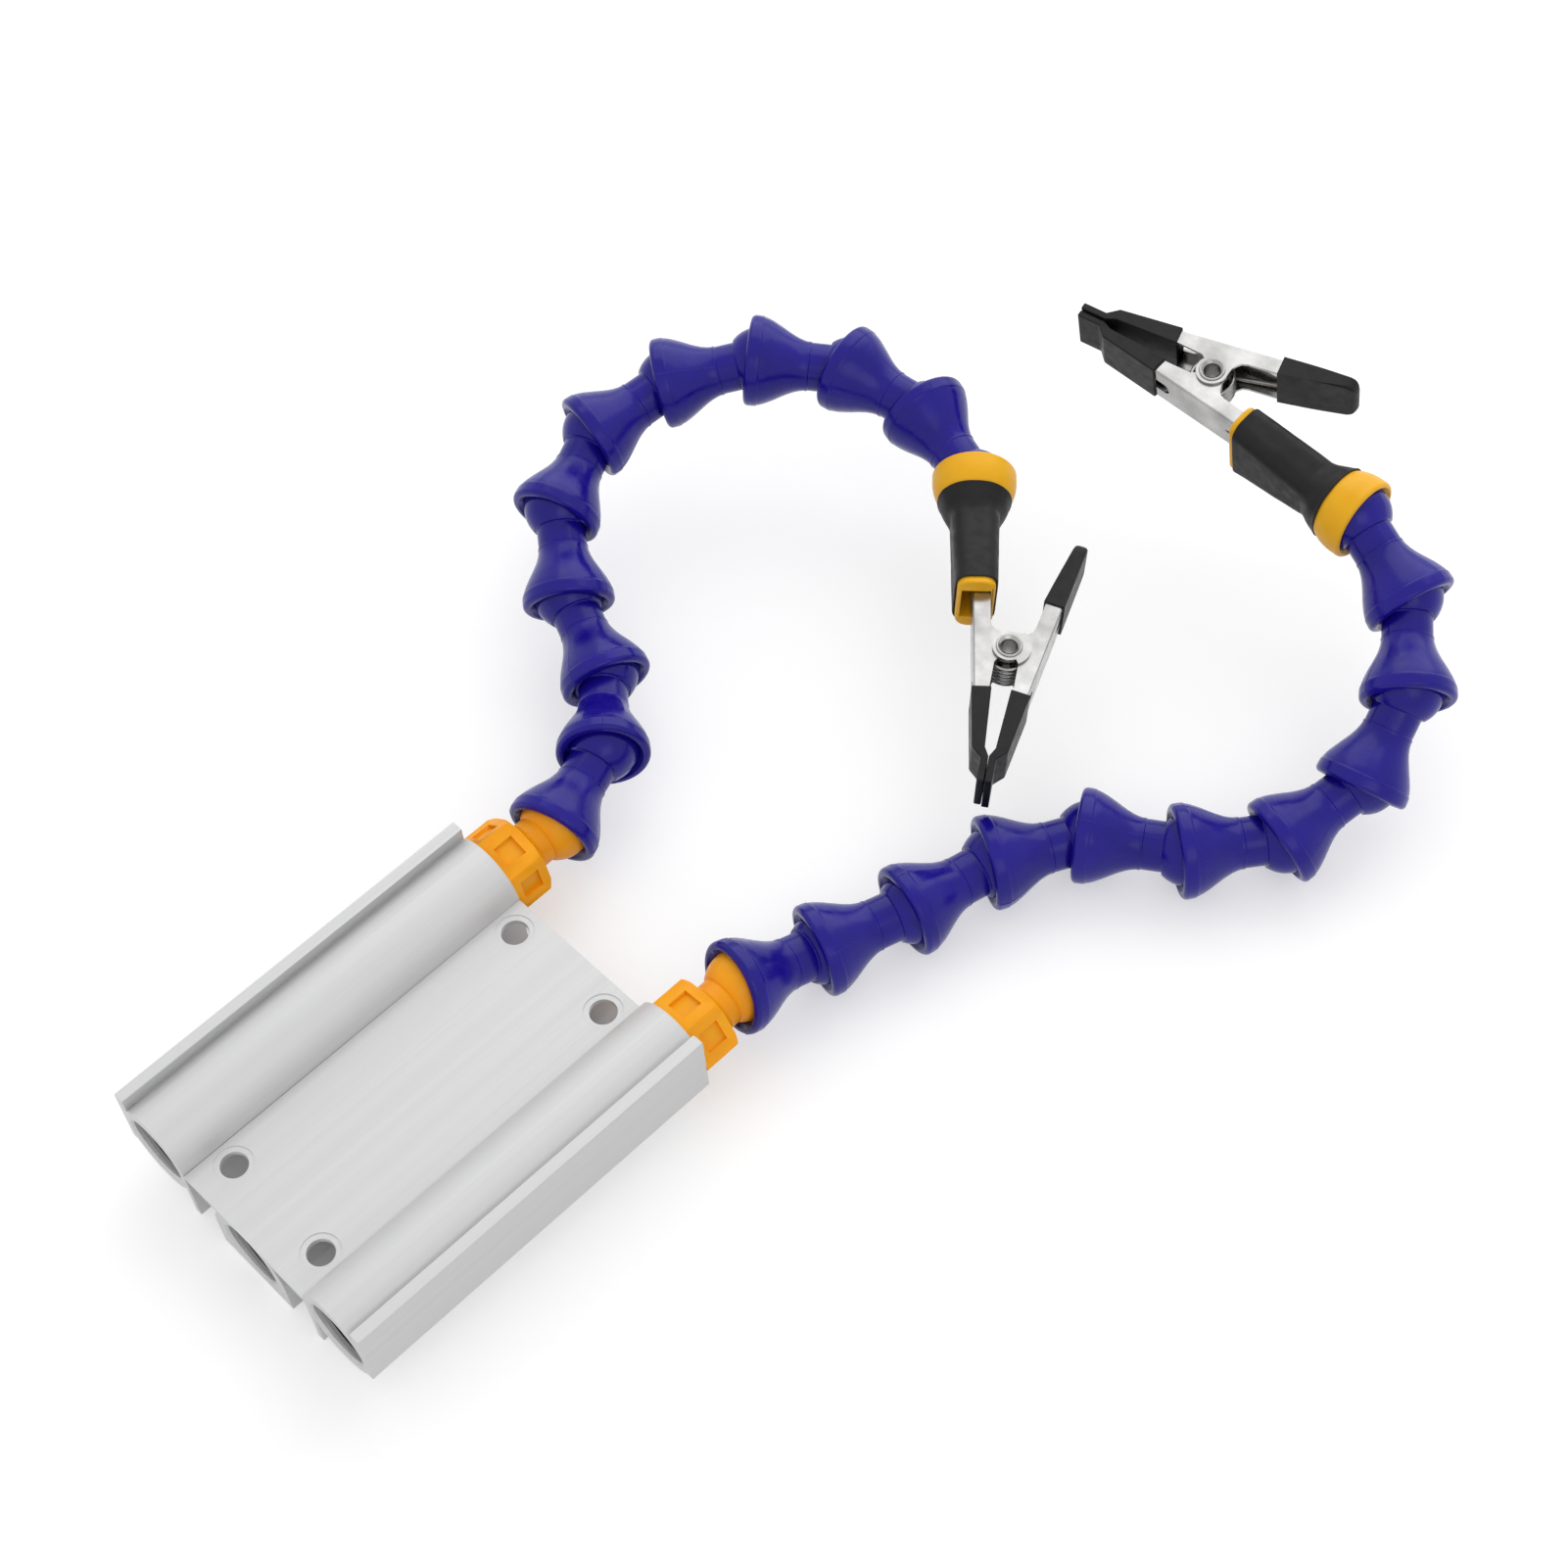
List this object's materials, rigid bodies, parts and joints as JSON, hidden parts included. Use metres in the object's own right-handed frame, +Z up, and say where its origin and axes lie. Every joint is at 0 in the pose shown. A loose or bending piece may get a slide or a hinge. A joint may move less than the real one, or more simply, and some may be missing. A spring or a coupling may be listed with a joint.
{
  "type": "helping hands clamp",
  "caption": "Flexible jointed arms with sprung clips on an extruded metal base, for holding small work while soldering.",
  "frame": {"origin": "middle of the base extrusion's footprint, on its underside", "axes": "+Z up through the plate, +Y along the extrusion towards the arms, +X across the tubes towards the longer-reaching right arm"},
  "size_m": [0.1665, 0.2444, 0.0413],
  "materials": {
    "aluminium_extrusion": "satin",
    "blue_plastic": "gloss",
    "amber_plastic": "semi-gloss",
    "yellow_plastic": "semi-gloss",
    "black_sleeve": "matte",
    "nickel_steel": "nickel plated",
    "spring_steel": "bright wire",
    "black_vinyl": "matte"
  },
  "bodies": {
    "base": {"base_extrusion": "aluminium_extrusion", "connector_left": "amber_plastic", "connector_right": "amber_plastic"},
    "link_left_01": {"link_left_01": "blue_plastic"},
    "link_left_02": {"link_left_02": "blue_plastic"},
    "link_left_03": {"link_left_03": "blue_plastic"},
    "link_left_04": {"link_left_04": "blue_plastic"},
    "link_left_05": {"link_left_05": "blue_plastic"},
    "link_left_06": {"link_left_06": "blue_plastic"},
    "link_left_07": {"link_left_07": "blue_plastic"},
    "link_left_08": {"link_left_08": "blue_plastic"},
    "link_left_09": {"link_left_09": "blue_plastic"},
    "link_left_10": {"link_left_10": "blue_plastic"},
    "end_left": {"end_cup_left": "yellow_plastic", "heat_shrink_sleeve_left": "black_sleeve", "clip_fixed_half_left": "nickel_steel", "clip_rivet_left": "nickel_steel", "clip_spring_left": "spring_steel", "jaw_boot_fixed_left": "black_vinyl"},
    "jaw_left": {"clip_moving_half_left": "nickel_steel", "jaw_boot_moving_left": "black_vinyl", "handle_boot_left": "black_vinyl"},
    "link_right_01": {"link_right_01": "blue_plastic"},
    "link_right_02": {"link_right_02": "blue_plastic"},
    "link_right_03": {"link_right_03": "blue_plastic"},
    "link_right_04": {"link_right_04": "blue_plastic"},
    "link_right_05": {"link_right_05": "blue_plastic"},
    "link_right_06": {"link_right_06": "blue_plastic"},
    "link_right_07": {"link_right_07": "blue_plastic"},
    "link_right_08": {"link_right_08": "blue_plastic"},
    "link_right_09": {"link_right_09": "blue_plastic"},
    "link_right_10": {"link_right_10": "blue_plastic"},
    "end_right": {"end_cup_right": "yellow_plastic", "heat_shrink_sleeve_right": "black_sleeve", "clip_fixed_half_right": "nickel_steel", "clip_rivet_right": "nickel_steel", "clip_spring_right": "spring_steel", "jaw_boot_fixed_right": "black_vinyl"},
    "jaw_right": {"clip_moving_half_right": "nickel_steel", "jaw_boot_moving_right": "black_vinyl", "handle_boot_right": "black_vinyl"}
  },
  "joints": [
    {"name": "ball_left_01", "type": "hinge", "parent": "base", "child": "link_left_01", "pos_m": [-0.0236, 0.0525, 0.0125], "axis": [0.866, 0, -0.5], "range_deg": [-20, 30]},
    {"name": "ball_left_02", "type": "hinge", "parent": "link_left_01", "child": "link_left_02", "pos_m": [-0.02889, 0.0688, 0.014], "axis": [-0.9511, -0.309, 0], "range_deg": [-20, 0]},
    {"name": "ball_left_03", "type": "hinge", "parent": "link_left_02", "child": "link_left_03", "pos_m": [-0.04165, 0.08028, 0.0128], "axis": [-0.5536, -0.6669, -0.4988], "range_deg": [-4, 54]},
    {"name": "ball_left_04", "type": "hinge", "parent": "link_left_03", "child": "link_left_04", "pos_m": [-0.05735, 0.08631, 0.01638], "axis": [-0.3907, -0.6075, -0.6916], "range_deg": [-34, 20]},
    {"name": "ball_left_05", "type": "hinge", "parent": "link_left_04", "child": "link_left_05", "pos_m": [-0.07024, 0.09638, 0.02169], "axis": [-0.2435, 0.1902, -0.9511], "range_deg": [-60, 0]},
    {"name": "ball_left_06", "type": "hinge", "parent": "link_left_05", "child": "link_left_06", "pos_m": [-0.07659, 0.11208, 0.02468], "axis": [0.6096, 0.3787, -0.6964], "range_deg": [-46, 0]},
    {"name": "ball_left_07", "type": "hinge", "parent": "link_left_06", "child": "link_left_07", "pos_m": [-0.07364, 0.12881, 0.02737], "axis": [0.5159, 0.0466, -0.8554], "range_deg": [-52, 0]},
    {"name": "ball_left_08", "type": "hinge", "parent": "link_left_07", "child": "link_left_08", "pos_m": [-0.06339, 0.14242, 0.02976], "axis": [0.4718, -0.2046, -0.8576], "range_deg": [-32, 20]},
    {"name": "ball_left_09", "type": "hinge", "parent": "link_left_08", "child": "link_left_09", "pos_m": [-0.05007, 0.1532, 0.02826], "axis": [-0.4929, 0.5107, -0.7044], "range_deg": [-48, 0]},
    {"name": "ball_left_10", "type": "hinge", "parent": "link_left_09", "child": "link_left_10", "pos_m": [-0.03323, 0.15617, 0.02646], "axis": [-0.176, 0.4767, -0.8613], "range_deg": [-52, 6]},
    {"name": "ball_left_11", "type": "hinge", "parent": "link_left_10", "child": "end_left", "pos_m": [-0.01677, 0.15176, 0.02407], "axis": [-0.0629, 0.2848, -0.9565], "range_deg": [-58, 0]},
    {"name": "clip_pivot_left", "type": "hinge", "parent": "end_left", "child": "jaw_left", "pos_m": [0.01356, 0.12853, 0.02103], "axis": [0.0985, -0.0016, 0.9951], "range_deg": [0, 24], "stiffness_Nm_per_rad": 0.1, "springref_deg": -45.84, "deforming": ["clip_spring_left"]},
    {"name": "ball_right_01", "type": "hinge", "parent": "base", "child": "link_right_01", "pos_m": [0.0236, 0.0525, 0.0125], "axis": [-0.7071, 0, 0.7071], "range_deg": [-28, 24]},
    {"name": "ball_right_02", "type": "hinge", "parent": "link_right_01", "child": "link_right_02", "pos_m": [0.0268, 0.06895, 0.00863], "axis": [0.6638, -0.2911, -0.689], "range_deg": [-44, 16]},
    {"name": "ball_right_03", "type": "hinge", "parent": "link_right_02", "child": "link_right_03", "pos_m": [0.03211, 0.08531, 0.00863], "axis": [-0.6725, 0.2185, 0.7071], "range_deg": [-34, 28]},
    {"name": "ball_right_04", "type": "hinge", "parent": "link_right_03", "child": "link_right_04", "pos_m": [0.03598, 0.10207, 0.00863], "axis": [-0.689, 0.1591, 0.7071], "range_deg": [-18, 40]},
    {"name": "ball_right_05", "type": "hinge", "parent": "link_right_04", "child": "link_right_05", "pos_m": [0.04432, 0.11711, 0.00863], "axis": [-0.7574, 0.4199, 0.5], "range_deg": [-8, 36]},
    {"name": "ball_right_06", "type": "hinge", "parent": "link_right_05", "child": "link_right_06", "pos_m": [0.05858, 0.12673, 0.00863], "axis": [0, 0, 1], "range_deg": [-50, 12]},
    {"name": "ball_right_07", "type": "hinge", "parent": "link_right_06", "child": "link_right_07", "pos_m": [0.06893, 0.14047, 0.00863], "axis": [0.3993, -0.3009, 0.866], "range_deg": [-60, 2]},
    {"name": "ball_right_08", "type": "hinge", "parent": "link_right_07", "child": "link_right_08", "pos_m": [0.07265, 0.15658, 0.01337], "axis": [-0.6451, 0.349, -0.6797], "range_deg": [-2, 60]},
    {"name": "ball_right_09", "type": "hinge", "parent": "link_right_08", "child": "link_right_09", "pos_m": [0.06937, 0.17079, 0.02249], "axis": [-0.3839, -0.5596, 0.7344], "range_deg": [-60, 0]},
    {"name": "ball_right_10", "type": "hinge", "parent": "link_right_09", "child": "link_right_10", "pos_m": [0.05836, 0.18301, 0.02752], "axis": [-0.1956, 0.2173, -0.9563], "range_deg": [0, 62]},
    {"name": "ball_right_11", "type": "hinge", "parent": "link_right_10", "child": "end_right", "pos_m": [0.04265, 0.18722, 0.03311], "axis": [-0.0669, -0.8786, 0.4728], "range_deg": [-54, 8]},
    {"name": "clip_pivot_right", "type": "hinge", "parent": "end_right", "child": "jaw_right", "pos_m": [0.00468, 0.1922, 0.03457], "axis": [-0.0197, 0.1388, -0.9901], "range_deg": [0, 24], "stiffness_Nm_per_rad": 0.1, "springref_deg": -45.84, "deforming": ["clip_spring_right"]}
  ]
}
